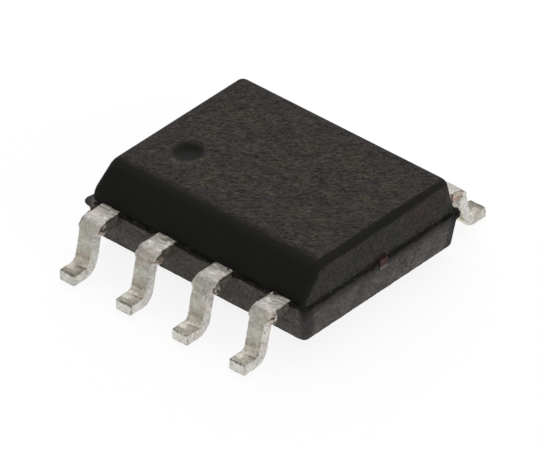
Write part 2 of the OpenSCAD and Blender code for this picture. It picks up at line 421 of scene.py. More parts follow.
@dataclass(frozen=True)
class CompoundFinish:
    """Dark filled epoxy: sparked matte faces, a polished bevel side with painted shade, pale
    filler grains.

    Places are in millimetres and the lay in degrees. A pair says where a change starts and
    where it is whole; each of the rows is a middle and a half width.
    """

    # Dark colour of the polish, which also paints shade on the side of pin 1.
    smooth: Colour = (0.0108, 0.0102, 0.0080)
    face: Colour = (0.0460, 0.0424, 0.0383)
    plum: Colour = (0.0525, 0.0408, 0.0402)
    flank: Colour = (0.052, 0.0495, 0.0435)
    rust: Colour = (0.060, 0.041, 0.036)
    # Pale partly for the rougher finish of the lower half, partly as painted light from the floor.
    lower: Colour = (0.145, 0.134, 0.125)
    corner: Colour = (0.066, 0.059, 0.058)
    olive: Colour = (0.072, 0.066, 0.040)
    grain: Colour = (0.30, 0.28, 0.25)
    stain: Colour = (0.088, 0.070, 0.046)
    lay: float = 42.0
    combed: float = 2.2
    crease: Pair = (1.24, 1.45)
    bevel_top: Pair = (1.44, 1.50)
    end_wall: Pair = (2.27, 2.34)
    corner_x: Pair = (2.30, 2.44)
    corner_y: Pair = (1.66, 1.82)
    draft: float = 0.14
    webs: Pair = (1.955, 1.985)
    burr: Point = (2.46, 1.90, 0.84)
    rows: tuple[Pair, ...] = ((-0.72, 0.3), (0.28, 0.2), (1.03, 0.2))

    def build(self) -> Material:
        """Makes the material."""
        g = Graph.material("mould_compound")
        p = g.place()
        x, y, z = g.axes(p)
        ends = abs(x).rise(SAG_FROM, SAG_TO)
        level = z + ends * SAG - PARTING
        comb = {"Rotation": (0, 0, math.radians(self.lay)), "Scale": (self.combed, 1, 1)}
        lay = g.add("Mapping", {"vector_type": "TEXTURE"}, {"Vector": p, **comb})
        fine, speck, patch = g.noise(lay, 20, 3), g.noise(p, 34), g.noise(p, 3.2, 4, 0.6)
        ridges = abs(g.noise(lay, 10, 2, 1.2) - 0.5).rise(0.10, 0.0)
        wobble = (g.noise(p, 5, 3) - 0.5) * 0.10 + (fine - 0.5) * 0.05
        upper = (level + wobble * 0.55).rise(-0.004, 0.012)

        # Painted shade in a line along the ledge, bitten above it; painted shadow below it at both
        # ends.
        depth = level + wobble * 0.7 + (0 - y).rise(1.70, 1.90) * 0.014
        ragged = (g.noise(p, 4.5, 3) - 0.5) * 0.07
        teeth = ((fine - 0.5) * 0.10 + (g.noise(p, 11) - 0.5) * 0.10) * ends
        line = (depth + ragged + teeth).band(0.004, 0.028, 0.016) * (1 - ends * 0.16)
        bites = g.noise(p, 5.5, 3, 0.8).rise(0.52, 0.60) * 0.85 * (1 - ends * 0.35)
        ragged_shade = (depth + wobble).band(0.030, 0.055, 0.030) * bites
        # Painted shadow on the lower wall under the ledge, at both ends.
        ledge_shadow = (level + wobble * 0.8 + (patch - 0.5) * 0.16).rise(-0.22, -0.01)
        ledge_shadow = ledge_shadow * level.rise(0.006, -0.006) * 0.86 * ends

        # Where the compound is dark: partly smooth polish, partly painted shade on the side of pin
        # 1.
        front = (wobble * 1.2 - y).rise(*self.crease) * z.rise(*self.bevel_top)
        polish = g.attribute("polish") + (fine - 0.5) * 0.5 + (patch - 0.5) * 0.6
        polish = (polish - y.rise(0.2, 1.6) * 0.25).rise(0.2, 0.85) * upper
        burr = (g.near(p, self.burr) + wobble).rise(0.26, 0.12)
        lobe = g.attribute("lobe").rise(0.1, 0.4)
        web = abs(y).rise(*self.webs)
        dark = front.over(polish).over(line).over(ragged_shade).over(ledge_shadow).over(burr * 0.6)
        dark = dark * (1 - lobe) * (1 - web)

        # The colours of the upper and of the lower half.
        end = abs(x).rise(*self.end_wall) * upper
        rusty = g.noise(p, 2.3, 3, 0.5).rise(0.50, 0.66) * 0.7
        above = g.layered(
            self.face,
            (patch.rise(0.40, 0.62) * 0.8, self.plum),
            (self._rows(g, p, x, y) * z.rise(1.5, 1.53), self.olive),
            (end, g.blend(rusty, self.flank, self.rust)),
        )
        drawn_in = (PARTING - z) * self.draft
        edge = (abs(x) + drawn_in).rise(*self.corner_x) * (abs(y) + drawn_in).rise(*self.corner_y)
        # Painted floor light: the lower half grows lighter towards its bottom; its ends get
        # painted shade.
        floor_bounce_light = z.rise(0.70, 0.26) * z.rise(0.20, 0.26)
        below = g.blend(edge, self.lower, self.corner)
        colour = g.layered(
            g.shade(below, (1 - ends * 0.24) * (1 + floor_bounce_light * 0.30)),
            (upper * (1 - lobe), above),
            (web * g.noise(p, 9).rise(0.40, 0.60) * 0.8, self.stain),
        )

        # The grain of the surface, and the light and the shade at the dimple.
        calm = 1 - end * 0.36 - (1 - upper) * 0.30
        tone = 1 + ((fine - 0.5) * 2.3 + (speck - 0.5) * 2.0 + (ridges - 0.5) * 0.5) * calm
        tone = tone + (patch - 0.5) * (0.6 + (1 - upper) * 0.9)
        from_dimple = g.near(p, DIMPLE) + wobble * 0.8
        lit_lip = from_dimple.band(0.36, 0.02, 0.05) * (x * 0.67 - y * 0.74).rise(-0.55, -0.30)
        colour = g.layered(
            g.shade(colour, tone.over(0.3) * (1 + lit_lip * 0.3)),
            (self._grains(g, p, upper), self.grain),
            (dark, self.smooth),
        )
        height = fine * 0.9 + speck * 0.4 + ridges * 0.35 + g.noise(p, 7) * 0.6
        return g.surface(
            Base_Color=g.shade(colour, 1 - from_dimple.rise(0.34, 0.12) * 0.5),
            Roughness=0.84 - dark * 0.16,
            Specular_IOR_Level=0.14,
            Normal=g.bump(height * (1 - dark * 0.92), 0.028),
        )

    @staticmethod
    def _grains(g: Graph, p: Wire, upper: Wire) -> Wire:
        """Filler grains laid bare: many on the lower half, a few on the upper one."""
        x, _, z = g.axes(p)
        sharp = g.cells(p, 16).rise(0.36, 0.10) * g.noise(p, 6).rise(0.42, 0.56)
        chipped = z.band(0.892, 0.010, 0.014) * g.noise(p, 13).rise(0.52, 0.60)
        chipped = chipped * abs(x).rise(SAG_TO, SAG_FROM)
        return (sharp * (0.42 - upper * 0.35)).over(chipped * 0.5)

    def _rows(self, g: Graph, p: Wire, x: Wire, y: Wire) -> Wire:
        """Faint broken stains in rows on the top face, with no letter in them."""
        curls = abs(g.noise(p, 2.9, 2, 1.6) - 0.5).rise(0.055, 0.012) * 0.62
        clouds = g.noise(p, 1.9, 3, 0.5).rise(0.46, 0.62) * 0.34
        broken = g.noise(p, 3.6).rise(0.36, 0.58)
        first, second, third = (y.band(middle, half, 0.12) for middle, half in self.rows)
        lines = first.over(second).over(third) * abs(x).rise(2.15, 1.8)
        return curls.over(clouds) * broken * lines


@dataclass(frozen=True)
class TinFinish:
    """Matte tin over copper: mottled plating, stained bends, raw copper where bars were cut.

    The stops are the plating's colour by distance from the wall, in millimetres, with painted
    highlights on both bends.
    """

    stops: tuple[tuple[float, Colour], ...] = (
        (0.00, (0.62, 0.585, 0.525)),
        (0.12, (0.318, 0.295, 0.269)),
        (0.22, (0.428, 0.404, 0.373)),
        (0.32, (0.328, 0.310, 0.299)),
        (0.40, (0.464, 0.441, 0.418)),
        # Bright stops on the shoulder bend and on the foot bend are painted highlights.
        (0.50, (0.801, 0.766, 0.675)),
        (0.62, (0.451, 0.441, 0.393)),
        (0.72, (0.567, 0.562, 0.500)),
        (0.86, (0.544, 0.524, 0.461)),
        (0.94, (0.465, 0.436, 0.354)),
        (1.00, (0.435, 0.386, 0.302)),
        (1.06, (0.866, 0.800, 0.676)),
        (1.16, (0.970, 0.928, 0.806)),
        (1.27, (0.567, 0.517, 0.462)),
        (1.32, (0.526, 0.481, 0.411)),
        (1.38, (0.478, 0.438, 0.380)),
        (1.48, (0.393, 0.372, 0.316)),
        (1.60, (0.298, 0.288, 0.244)),
    )
    side: Colour = (0.66, 0.64, 0.60)
    toe: Colour = (0.71, 0.70, 0.64)
    olive: Colour = (0.30, 0.29, 0.20)
    pink: Colour = (0.62, 0.52, 0.47)
    white: Colour = (0.95, 0.92, 0.86)
    copper: Colour = (0.33, 0.175, 0.095)
    brown: Colour = (0.085, 0.038, 0.027)
    dark: Colour = (0.06, 0.052, 0.04)
    foot_bend: float = 1.33
    bar_cut: float = 0.45
    seam: float = 0.215

    def build(self) -> Material:
        """Makes the material."""
        g = Graph.material("tin_plate")
        p = g.place()
        z = g.axes(p)[2]
        along, across, side, upside, dull, early = (g.attribute(name) for name in LEAD_NOTES)
        top = 1 - side
        mottle, fine = g.noise(p, 6, 3, 0.7), g.noise(p, 24)
        blotch = g.noise(g.stretched(p, shift=(5, 3, 1)), 4.2, 3, 0.9)

        # Marks of the bends and of handling, and painted glints.
        glint = g.noise(g.stretched(p, shift=(2, 8, 4)), 7.5, 2, 0.5).rise(0.57, 0.68)
        foot = along.band(1.38, 0.06, 0.05) * (across + (mottle - 0.5) * 0.2).rise(0.04, -0.05)
        crease = (along + across * 0.35 + (fine - 0.5) * 0.05).band(self.foot_bend, 0.008, 0.016)
        crease = crease * across.rise(-0.10, 0.0)
        streaks = g.noise(g.stretched(p, (10, 3.4, 3.4)), 1, 3, 0.8).rise(0.52, 0.64)
        hatch = g.noise(g.stretched(p, (3.5, 24, 8)), 1, 2, 0.6).rise(0.50, 0.64)
        hatch = hatch * along.rise(0.24, 0.05) * upside
        pitted = g.noise(p, 3.4, 1).rise(0.50, 0.60).over(along.rise(1.45, 1.55) * 0.7)
        pits = g.cells(p, 11).rise(0.17, 0.08) * pitted

        # Marks of the cuts.
        cut = (along + early + (mottle - 0.5) * 0.1).band(self.bar_cut, 0.075, 0.03) * side
        seam = (along + (fine - 0.5) * 0.05).band(self.seam, 0.030, 0.020)
        seam = seam * early.rise(0.0, 0.08) * side * g.noise(p, 10).rise(0.24, 0.40)
        rim = abs(across).rise(0.14, 0.17).over(z.rise(0.155, 0.19)).over(z.rise(0.04, 0.01))
        rim = rim * along.rise(1.53, 1.57) * g.noise(p, 13).rise(0.46, 0.56)
        nicks = abs(across).rise(0.125, 0.165) * g.noise(p, 21).rise(0.60, 0.68)
        nicks = nicks * along.rise(0.3, 0.5)

        reach = self.stops[-1][0]
        stops = [(place / reach, colour) for place, colour in self.stops]
        stop = (along + (blotch - 0.5) * 0.16 + across * 0.10) / reach
        sides = g.blend(along.rise(1.3, 1.5), self.side, self.toe)
        colour = g.layered(
            g.ramp(stop, stops),
            (blotch.rise(0.52, 0.68) * 0.5, self.pink),
            (mottle.rise(0.54, 0.68) * 0.34, self.olive),
            # Painted glints, and a white patch on the top of the foot.
            ((glint * 0.28).over(foot * 0.5) * top, self.white),
            (crease * 0.5 * top, self.dark),
            (side, g.blend(streaks * 0.35, sides, self.pink)),
            (hatch * 0.45, self.dark),
            (cut * fine.rise(0.40, 0.56) * 0.8, self.copper),
            (cut * g.noise(p, 17).rise(0.56, 0.64) * 0.8, self.dark),
            (seam * 0.9, self.brown),
            (pits * 0.75, self.dark),
            ((rim * 0.6).over(nicks * 0.7), self.dark),
        )
        # dull paints the tops of the feet darker: painted shade.
        tone = (1 + (mottle - 0.5) * 0.7 + (fine - 0.5) * 0.8) * (1 - dull * top)
        return g.surface(
            Base_Color=g.shade(colour, tone),
            Metallic=0.8,
            Roughness=0.40 + mottle * 0.14 + dull * 1.8,
            Normal=g.bump(mottle * 0.8 + fine * 0.35 + blotch * 0.5, 0.018, 0.8),
        )


@dataclass(frozen=True)
class MetalFinish:
    """A plain drawn or rolled metal with faint lengthwise marks, burnt where its end shows."""

    name: str
    colour: Colour
    dull: Colour
    roughness: float
    grains: float = 8.0
    burnt: Colour = (0.048, 0.019, 0.018)
    scorched: Colour = (0.086, 0.036, 0.033)
    smear: Colour = (0.15, 0.135, 0.125)
    burnt_from: Pair = (2.36, 2.38)
    smeared: Pair = (0.825, 0.790)

    def build(self) -> Material:
        """Makes the material."""
        g = Graph.material(self.name)
        p = g.place()
        x, _, z = g.axes(p)
        cloud = g.noise(p, self.grains * 0.5, 3, 0.4)
        marks = g.noise(g.stretched(p, (self.grains * 4, self.grains * 0.6, self.grains)), 1)
        burn = abs(x).rise(*self.burnt_from)
        char = g.blend(g.noise(p, 12).rise(0.45, 0.65), self.burnt, self.scorched)
        colour = g.layered(
            self.colour,
            (cloud.rise(0.35, 0.7), self.dull),
            (burn, char),
            (burn * (z + (cloud - 0.5) * 0.06).rise(*self.smeared), self.smear),
        )
        return g.surface(
            Base_Color=g.shade(colour, 0.86 + marks * 0.28),
            Metallic=1 - burn * 0.3,
            Roughness=self.roughness + marks * 0.1 + burn * 0.2,
            Normal=g.bump(marks * 0.6 + cloud * 0.4, 0.004, 0.6),
        )


@dataclass(frozen=True)
class AdhesiveFinish:
    """Cured epoxy full of silver flakes."""

    resin: Colour = (0.30, 0.30, 0.28)
    flake: Colour = (0.62, 0.62, 0.60)

    def build(self) -> Material:
        """Makes the material."""
        g = Graph.material("die_adhesive")
        flakes = g.cells(g.place(), 34).rise(0.45, 0.15)
        return g.surface(
            Base_Color=g.blend(flakes, self.resin, self.flake),
            Metallic=0.1 + flakes * 0.6,
            Roughness=0.55,
            Normal=g.bump(flakes, 0.003, 0.5),
        )


@dataclass(frozen=True)
class SiliconFinish:
    """Silicon chip: a generic patterned face with pads, and ground sides."""

    silicon: Colour = (0.10, 0.115, 0.15)
    metal: Colour = (0.34, 0.33, 0.37)
    oxide: Colour = (0.10, 0.19, 0.20)
    face: Pair = (1.04, 1.045)

    def build(self) -> Material:
        """Makes the material."""
        g = Graph.material("silicon")
        p = g.place()
        inputs = {"Vector": p, "Scale": 4.0, "Randomness": 0.8}
        blocks = g.add("TexVoronoi", {"distance": "CHEBYCHEV"}, inputs, "Color")
        inputs = {"Vector": p, "Scale": 14.0}
        lines = g.add("TexWave", {"wave_type": "BANDS"}, inputs, "Fac")
        pattern = g.layered(
            self.oxide,
            (g.axes(blocks)[0].rise(0.3, 0.5), self.metal),
            (lines.rise(0.6, 0.75) * 0.4, self.silicon),
        )
        face = g.axes(p)[2].rise(*self.face)
        return g.surface(
            Base_Color=g.blend(face, self.silicon, pattern),
            Metallic=0.5,
            Roughness=0.28 + (1 - face) * 0.25,
            Normal=g.bump(lines, 0.001, 0.3),
        )


# ---------------------------------------------------------------- pieces


@dataclass(frozen=True)
class Lobe:
    """A round lump of flash left on a corner of the ledge. Sizes in millimetres."""

    centre: Point
    radius: float
    ragged: float
    highest: float = 0.924

    def share(self, p: Vector) -> float:
        """1 where the lump is, 0 away from it and above the ledge."""
        if p.z > self.highest:
            return 0.0
        away = (p - Vector(self.centre)).length
        return 1 - smooth_step(self.radius * 0.8, self.radius * 1.5, away)

    def push(self, p: Vector) -> Vector:
        """How far the lump pushes a point of the surface out."""
        out = p - Vector(self.centre)
        reach = self.radius * (1 + self.ragged * rough(p, 7, 2))
        return out.normalized() * (self.share(p) * max(0.0, reach - out.length))


@dataclass
class Moulding:
    """The one-piece moulding, with its ledge at the parting line. Sizes in millimetres."""

    length: float = 4.93
    width: float = 3.9
    bottom: float = 0.18
    top: float = 1.54
    ledge: float = 0.055
    draft: float = 8.0
    bevel_start: float = 1.43
    upper_round: float = 0.15
    lower_round: float = 0.11
    bottom_round: float = 0.05
    rim_round: float = 0.02
    overlap: float = 0.05
    grid: float = 0.036
    dimple_r: float = 0.30
    dimple_depth: float = 0.075
    dimple_lip: float = 0.008
    ejector_r: float = 0.5
    ejector_depth: float = 0.03
    spark: float = 0.0075
    low_spark: float = 0.005
    sag_reach: float = 0.07
    rim_reach: float = 0.035
    rim_width: float = 0.09
    rim_rise: float = 0.052
    rim_out: float = 0.022
    rim_inset: float = 0.3
    burr_reach: float = 0.3
    polish_rounds: int = 6
    smooth_below: float = 38.0
    lobes: tuple[Lobe, Lobe] = (
        Lobe((-2.38, -1.84, 0.875), radius=0.135, ragged=0.3),
        Lobe((2.385, 1.85, 0.815), radius=0.12, ragged=0.8),
    )

    def build(self, material: Material) -> None:
        """Models the moulding and dresses it in its finish."""
        obj = self._lower_half()
        weld(obj, self._upper_half())
        with Editing(obj) as edit:
            self._cut_grid(edit)
        self._work_surface(obj.data)
        complete(obj, self.smooth_below, material, "moulded_body")

    def _half(self, name: str, inset: float, low: float, high: float) -> Object:
        """A block between two levels, drawn in from the body's outline by an inset."""
        x, y = self.length / 2 - inset, self.width / 2 - inset
        return block(name, (-x, -y, low), (x, y, high))

    def _taper(self, edit: Editing, inset: float, height: float, z: float) -> None:
        """Draws the selected face in by the draft over a height."""
        lean = 2 * height * math.tan(math.radians(self.draft))
        x, y = self.length - 2 * inset, self.width - 2 * inset
        edit.stretch(((x - lean) / x, (y - lean) / y, 1), (0, 0, z))

    def _lower_half(self) -> Object:
        """The lower half, up to the parting line, narrower at the bottom."""
        half = self._half("moulding", 0, self.bottom, PARTING)
        with Editing(half) as edit:
            edit.face((0, 0, -1))
            self._taper(edit, 0, PARTING - self.bottom, self.bottom)
            edit.round_off(self.lower_round, 6, lambda low, high: high - low > 0.1)
            edit.round_off(self.bottom_round, 3, lambda low, high: high < self.bottom + 0.01)
            edit.round_off(self.rim_round, 2, lambda low, high: low > PARTING - 0.001)
        return half

    def _upper_half(self) -> Object:
        """The upper half, bevelled along the side of pin 1 and rounded all over."""
        root, slope = PARTING - self.overlap, math.sqrt(0.5)
        half = self._half("upper_half", self.ledge, root, self.top)
        with Editing(half) as edit:
            edit.face((0, 0, 1))
            self._taper(edit, self.ledge, self.top - PARTING, self.top)
            edit.cut((0, -self.bevel_start, self.top), (0, -slope, slope), clear=True)
            edit.round_off(self.upper_round, 6, lambda low, high: high > root + 0.01)
        return half

    def _cut_grid(self, edit: Editing) -> None:
        """Cuts the faces small enough to carry the relief."""
        step = self.grid * 1
        half_x, half_y = self.length / 2, self.width / 2
        spans = ((-half_x, half_x), (-half_y, half_y), (self.bottom, self.top))
        for (low, high), axis in zip(spans, Matrix.Identity(3)):
            count = round((high - low) / step)
            for k in range(count):
                edit.cut(axis * (low + (high - low) * (k + 0.5) / count), axis)

    def _work_surface(self, mesh: Mesh) -> None:
        """Gives the surface its relief, and notes what is polished and where the lobe is."""
        polish: list[float] = []
        lobe: list[float] = []
        normals = [v.normal.copy() for v in mesh.vertices]
        for vertex, normal in zip(mesh.vertices, normals):
            place = vertex.co.copy()
            polish.append(self._polish(place, normal))
            lobe.append(self.lobes[0].share(place))
            vertex.co += self._relief(place, normal, polish[-1])
        note(mesh, "polish", self._softened(mesh, polish, self.polish_rounds))
        note(mesh, "lobe", lobe)

    @staticmethod
    def _softened(mesh: Mesh, values: list[float], times: int) -> list[float]:
        """Evens out a value over the surface, each vertex with its neighbours.

        Args:
            mesh: The surface.
            values: One number for each vertex.
            times: How often it is evened out.

        Returns:
            The softer values.
        """
        edges = [tuple(edge.vertices) for edge in mesh.edges]
        for _ in range(times):
            total, count = list(values), [1] * len(values)
            for a, b in edges:
                total[a], total[b] = total[a] + values[b], total[b] + values[a]
                count[a], count[b] = count[a] + 1, count[b] + 1
            values = [t / c for t, c in zip(total, count)]
        return values

    def _on_top(self, p: Vector, normal: Vector) -> bool:
        """Whether a point lies on the flat of the top face."""
        return normal.z > FACING and p.z > self.top - 0.02

    def _from_dimple(self, p: Vector) -> float:
        """Distance from the dimple's middle, in dimple radii."""
        return math.hypot(p.x - DIMPLE[0], p.y - DIMPLE[1]) / self.dimple_r

    def _polish(self, p: Vector, normal: Vector) -> float:
        """1 on the polished bevel, wall and rounded edges, 0 on the sparked faces; on the -Y side
        this also carries painted shade.
        """
        if p.z < PARTING + 0.005:
            return 0.0
        side_on = smooth_step(0.66, 0.985, max(abs(normal.x), normal.y))
        side_on *= 1 - smooth_step(0.2, 0.4, normal.z)
        sparked = max(smooth_step(0.90, 0.98, normal.z), side_on)
        if self._on_top(p, normal):
            sparked *= smooth_step(0.4, 1.3, self._from_dimple(p))
        return 1 - sparked

    def _relief(self, p: Vector, normal: Vector, shine: float) -> Vector:
        """How far a point of the surface moves.

        Args:
            p: The point.
            normal: The surface's normal there.
            shine: How polished it is, which evens the relief.

        Returns:
            The move.
        """
        move = Vector()
        if self._on_top(p, normal):
            away = self._from_dimple(p)
            move.z -= self.dimple_depth * (1 - smooth_step(0.25, 1.15, away))
            move.z += self.dimple_lip * bell(away - 1.2, 0.2)
        if normal.z < -FACING:
            away = math.hypot(p.x, p.y) - self.ejector_r
            move.z += self.ejector_depth * (1 - smooth_step(-0.03, 0.01, away))
        size = self.spark if p.z > PARTING + 0.02 else self.low_spark
        height = rough(p, 9) * 0.8 + rough(p, 17, 3) * 0.7
        move += normal * (size * (1 - 0.93 * shine) * height)
        move += self._rim(p)
        end = smooth_step(SAG_FROM, SAG_TO, abs(p.x))
        move.z -= SAG * (end * bell(p.z - PARTING, self.sag_reach))
        for lobe in self.lobes:
            move += lobe.push(p)
        return move

    def _rim(self, p: Vector) -> Vector:
        """How far the ragged rim of the ledge moves, most of all at its far corner."""
        x, y = self.length / 2, self.width / 2
        near = bell(p.z - PARTING, self.rim_reach)
        outside = abs(p.x) > x - self.rim_width or abs(p.y) > y - self.rim_width
        if not outside or near <= 0.02:
            return Vector()
        ragged = rough(p, 4, 9) * 0.5 + rough(p, 11, 5) * 0.8
        burr = bell(math.hypot(p.x - x, p.y - y), self.burr_reach)
        x, y = x - self.rim_inset, y - self.rim_inset
        inner = Vector((max(-x, min(x, p.x)), max(-y, min(y, p.y)), 0))
        out = (Vector((p.x, p.y, 0)) - inner).normalized()
        out *= (self.rim_out + 0.05 * burr) * min(0.1 + 0.5 * burr, ragged)
        return (out + Vector((0, 0, self.rim_rise * ragged * (1 + 1.2 * burr)))) * near


class Row(Enum):
    """Which side of the body a lead stands on."""

    NEAR = 1
    FAR = -1


@dataclass
class GullWing:
    """One gull wing lead with its inner finger. Sizes in millimetres, out across the row."""

    pin: int
    pitch: float = 1.27
    thickness: float = 0.2
    frame_z: float = 0.745
    wall: float = 1.895
    finger_tip: float = 1.52
    finger_neck: float = 0.01
    inner_half: float = 0.31
    inner_root: float = 1.2
    outer_from: float = 1.55
    outer_to: float = 2.11
    outer_root: float = 0.4
    shoulder_w: float = 0.41
    foot_w: float = 0.34
    toe: float = 3.0
    foot_flat: float = 0.28
    lean: float = 14.0
    shoulder_r: float = 0.22
    foot_r: float = 0.2
    dam_from: float = 8.0
    dam_to: float = 62.0
    dam_stub: float = 0.022
    dam_step: float = 3.0
    bar_cut: float = 0.46
    web: float = 0.04
    web_turn: float = 40.0
    web_stub: float = 0.08
    web_cuts: int = 3
    cells: int = 8
    step: float = 0.04
    turn_step: float = 9.0
    smooth_below: float = 60.0

    @property
    def row(self) -> Row:
        """The row that the pin stands in."""
        return Row.NEAR if self.pin <= 4 else Row.FAR

    @property
    def x(self) -> float:
        """Centre of the lead along its own row."""
        return ((self.pin - 1) % 4 - 1.5) * self.pitch

    @property
    def foot_dull_and_shade(self) -> float:
        """How much the top of the foot is dulled: made rougher, and painted darker as shade."""
        return 0.16 if self.row is Row.FAR else 0.12 if self.pin == 1 else 0.0

    @property
    def early(self) -> float:
        """How much nearer the wall the bars were cut than on the near row."""
        return 0.09 if self.row is Row.FAR else 0.0

    @property
    def shoulder_bend(self) -> Pair:
        """Centre of the shoulder bend: out, up."""
        a, both = math.radians(self.lean), self.shoulder_r + self.foot_r
        out = (self.frame_z - both + both * math.sin(a)) * math.tan(a) + both * math.cos(a)
        return self.toe - self.foot_flat - out, self.frame_z + self.thickness / 2 - self.shoulder_r

    @property
    def foot_bend(self) -> Pair:
        """Centre of the bend above the foot: out, up."""
        return self.toe - self.foot_flat, self.thickness / 2 + self.foot_r

    @property
    def shank(self) -> float:
        """Length of the straight shank."""
        a = math.radians(self.lean)
        drop = self.shoulder_bend[1] - self.foot_bend[1]
        return (drop + (self.shoulder_r + self.foot_r) * math.sin(a)) / math.cos(a)

    def build(self, tin: Material, compound: Material) -> None:
        """Models and dresses the lead and the compound flash beside its shoulder."""
        self._lead(tin)
        self._flash(compound)

    def _turn_over(self, obj: Object) -> None:
        """Turns a piece of the far row round to its side of the body."""
        if self.row is Row.FAR:
            obj.data.transform(Matrix.Rotation(math.pi, 4, "Z"))

    def _flash(self, compound: Material) -> None:
        """Thin webs of compound left on both sides of the shoulder, up to the cut bars."""
        first, second = (self._web(hand) for hand in (-1, 1))
        alone(first)
        second.select_set(True)
        bpy.ops.object.join()
        self._turn_over(first)
        complete(first, self.smooth_below, compound, "moulded_body")

    def _web(self, hand: int) -> Object:
        """The web on one side of the shoulder, worn thin towards its end.

        Args:
            hand: Which side: -1 or 1, the way that it points along X.

        Returns:
            The web, in millimetres.
        """
        side = self.x + hand * self.shoulder_w / 2
        low, high = sorted((side - hand * 0.03, side + hand * self.web))
        web = block(
            f"mould_flash_{self.pin}",
            (low, -self.wall - 0.01, self.frame_z + 0.01),
            (high, -self.wall + 0.1, self.frame_z + self.thickness - 0.014),
        )
        with Editing(web) as edit:
            edit.face((0, -1, 0))
            if self.row is Row.NEAR:
                self._straight(edit, self.shoulder_bend[0] - self.wall - 0.01, 180)
                self._bend(edit, self.shoulder_bend, self.web_turn)
            else:
                self._straight(edit, self.web_stub, 180)
            edit.split(self.web_cuts)
        for vertex in web.data.vertices:
            place, _ = self.locate(-vertex.co.y, vertex.co.z)
            worn = smooth_step(0.1, 0.42, place) * 0.6 + 0.2 * rough(vertex.co, 9, self.pin)
            away = hand * (vertex.co.x - side)
            if away > 0:
                vertex.co.x -= hand * away * min(0.9, max(0.0, worn))
            vertex.co.z += 0.010 * rough(vertex.co, 14, self.pin)
        return web

    def _lead(self, tin: Material) -> None:
        """Models and dresses the lead itself."""
        obj, width, anchor = self._finger()
        with Editing(obj) as edit:
            edit.split(self.cells)
            edit.face((0, -1, 0))
            self._walk(edit, width, anchor)
        self._work_surface(obj)
        self._turn_over(obj)
        complete(obj, self.smooth_below, tin, f"lead_{self.pin}")

    def _finger(self) -> tuple[Object, float, float]:
        """The widened inner end of the lead, as a block.

        Returns:
            The block, its width, and where across it the lead goes on.
        """
        if abs(self.x) < self.pitch:
            anchor, width, root = self.x, 2 * self.inner_half, self.inner_root
            low, high = self.x - self.inner_half, self.x + self.inner_half
        else:
            anchor = math.copysign(self.outer_to, self.x)
            width, root = self.outer_to - self.outer_from, self.outer_root
            low, high = sorted((math.copysign(self.outer_from, self.x), anchor))
        front_low = (low, -self.finger_tip, self.frame_z)
        back_high = (high, -root, self.frame_z + self.thickness)
        return block(f"gull_wing_{self.pin}", front_low, back_high), width, anchor

    def _walk(self, edit: Editing, width: float, anchor: float) -> None:
        """Extrudes the selected end face along the lead's path.

        Args:
            edit: The open edit.
            width: The finger's width.
            anchor: The place across it that stays when it narrows.
        """
        tip = self.finger_tip + self.finger_neck
        edit.grow((0, -self.finger_neck, 0))
        edit.stretch((self.shoulder_w / width, 1, 1), (anchor, -tip, 0))
        bend, dam_w = self.shoulder_bend, self.shoulder_w + 2 * self.dam_stub
        self._straight(edit, bend[0] - tip, 180)
        self._bend(edit, bend, self.dam_from)
        self._widen(edit, self.dam_from, dam_w / self.shoulder_w)
        self._bend(edit, bend, self.dam_to - self.dam_from - self.dam_step)
        self._widen(edit, self.dam_to, self.foot_w / dam_w)
        self._bend(edit, bend, 90 - self.lean - self.dam_to)
        self._straight(edit, self.shank, 270 - self.lean)
        self._bend(edit, self.foot_bend, self.lean - 90)
        self._straight(edit, self.foot_flat, 180)

    def _straight(self, edit: Editing, length: float, heading: float) -> None:
        """Extrudes straight on.

        Args:
            edit: The open edit.
            length: How far.
            heading: 180 points out of the body and 270 straight down.
        """
        steps = max(1, round(length / self.step))
        a = math.radians(heading)
        for _ in range(steps):
            edit.grow((0, math.cos(a) * length / steps, math.sin(a) * length / steps))

    def _bend(self, edit: Editing, centre: Pair, degrees: float) -> None:
        """Spins the end face round a bend's centre; positive turns down."""
        steps = max(1, round(abs(degrees) / self.turn_step))
        edit.spin((self.x, -centre[0], centre[1]), degrees, steps)

    def _widen(self, edit: Editing, turned: float, factor: float) -> None:
        """Changes the lead's width in one short step along the bend.

        Args:
            edit: The open edit.
            turned: How many degrees the bend has turned.
            factor: New width over old; where it narrows, the step is drawn out.
        """
        a = math.radians(turned)
        step = math.radians(self.dam_step) * self.shoulder_r if factor < 1 else 0.004
        edit.grow((0, -math.cos(a) * step, -math.sin(a) * step))
        edit.stretch((factor, 1, 1), (self.x, 0, 0))

    def locate(self, out: float, up: float) -> Pair:
        """Place of a point along the path and over its middle.

        Args:
            out: Distance from the middle plane of the chip.
            up: Height.

        Returns:
            Distance along the path from the wall, and height over the middle of the strip.
        """
        (bx, bz), (fx, fz) = self.shoulder_bend, self.foot_bend
        lean = math.radians(self.lean)
        turn = math.pi / 2 - lean
        flat = bx - self.wall
        if out <= bx:
            return out - self.wall, up - (self.frame_z + self.thickness / 2)
        across, rise = out - bx, up - bz
        ray = math.atan2(rise, across)
        if ray >= lean:
            over = math.hypot(across, rise) - self.shoulder_r
            return flat + (math.pi / 2 - ray) * self.shoulder_r, over
        down = across * math.sin(lean) - rise * math.cos(lean)
        if down < self.shank:
            over = across * math.cos(lean) + rise * math.sin(lean) - self.shoulder_r
            return flat + turn * self.shoulder_r + down, over
        start = flat + turn * self.shoulder_r + self.shank
        if out < fx:
            ray = math.atan2(fz - up, fx - out)
            return start + (ray - lean) * self.foot_r, self.foot_r - math.hypot(out - fx, up - fz)
        return start + turn * self.foot_r + out - fx, up - self.thickness / 2

